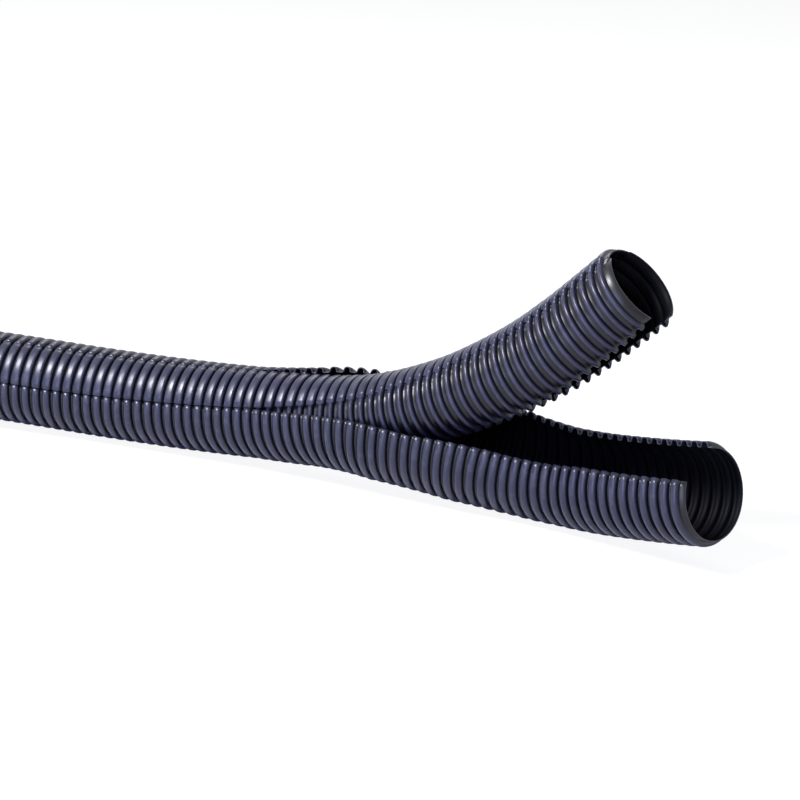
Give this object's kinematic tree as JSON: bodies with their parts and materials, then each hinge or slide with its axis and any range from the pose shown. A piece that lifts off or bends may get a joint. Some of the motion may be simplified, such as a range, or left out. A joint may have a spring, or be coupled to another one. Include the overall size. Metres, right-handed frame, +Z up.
{
  "type": "corrugated conduit",
  "caption": "Divisible corrugated plastic conduit: two nested slotted shells, peeled apart at one end.",
  "frame": {"origin": "on the conduit's axis in the middle of the closed end's first ridge", "axes": "+X along the conduit from the closed end, +Z up, the outer shell's slot towards -Y and up"},
  "size_m": [0.4966, 0.1038, 0.1249],
  "materials": {
    "outer_shell": "moulded black polyamide, satin",
    "inner_shell": "moulded black polyamide, satin"
  },
  "bodies": {
    "root": {"outer_shell": "outer_shell", "inner_shell": "inner_shell"}
  },
  "joints": []
}
